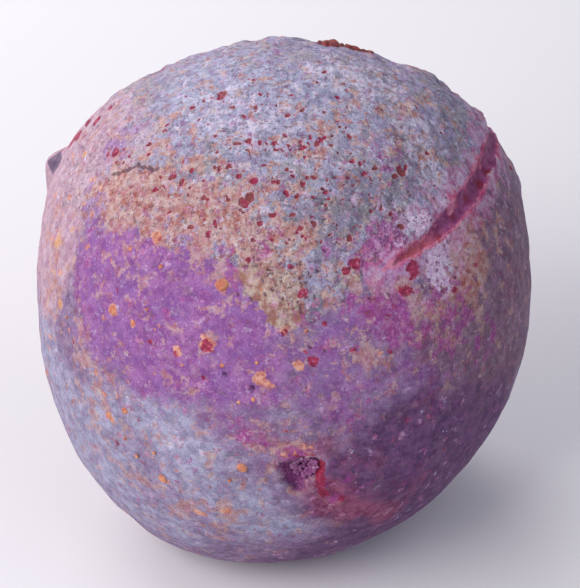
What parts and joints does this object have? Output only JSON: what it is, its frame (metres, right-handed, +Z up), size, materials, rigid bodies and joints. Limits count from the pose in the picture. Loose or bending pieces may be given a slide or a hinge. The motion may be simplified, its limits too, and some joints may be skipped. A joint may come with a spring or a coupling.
{
  "type": "standing agate geode",
  "caption": "Free-standing agate geode with a lumpy natural rind, one flat polished face round an open crystal pocket, and a small flat base to stand on.",
  "frame": {"origin": "on the flat base the geode stands on, straight below the middle of the nodule", "axes": "+Z up from the base; the flat polished face looks toward -Y and the rounded back bulges toward +Y; +X runs across the face, to the left of someone who looks at the rounded back"},
  "size_m": [0.099, 0.0677, 0.101],
  "materials": {
    "rind": "dry matte rind, dyed violet, with stains",
    "pale_crust": "rough and matte, pale lavender grey with red pits",
    "crack_fill": "matte, magenta with a crimson core",
    "ochre": "matte, earthy orange",
    "iron_red": "matte, earthy brown red",
    "grey_chalcedony": "polished, greyish lilac",
    "magenta_agate": "polished, magenta",
    "white_agate": "polished, white",
    "rose_agate": "polished, rose pink",
    "lilac_agate": "polished, lilac",
    "hot_pink_agate": "polished, strong pink",
    "milky_quartz": "polished, milky pink",
    "pink_quartz": "glassy crystal faces, clear pink",
    "dark_druse": "small dark purple crystal faces"
  },
  "bodies": {
    "root": {"rind": "rind", "pale_crust": "pale_crust", "healed_crack": "crack_fill", "ochre_nodules": "ochre", "iron_knobs": "iron_red", "grey_chalcedony": "grey_chalcedony", "magenta_band": "magenta_agate", "white_band": "white_agate", "rose_band": "rose_agate", "lilac_band": "lilac_agate", "hot_pink_band": "hot_pink_agate", "quartz_lining": "milky_quartz", "large_quartz_points": "pink_quartz", "medium_quartz_points": "pink_quartz", "small_quartz_points": "pink_quartz", "hollow_druse": "dark_druse"}
  },
  "joints": []
}
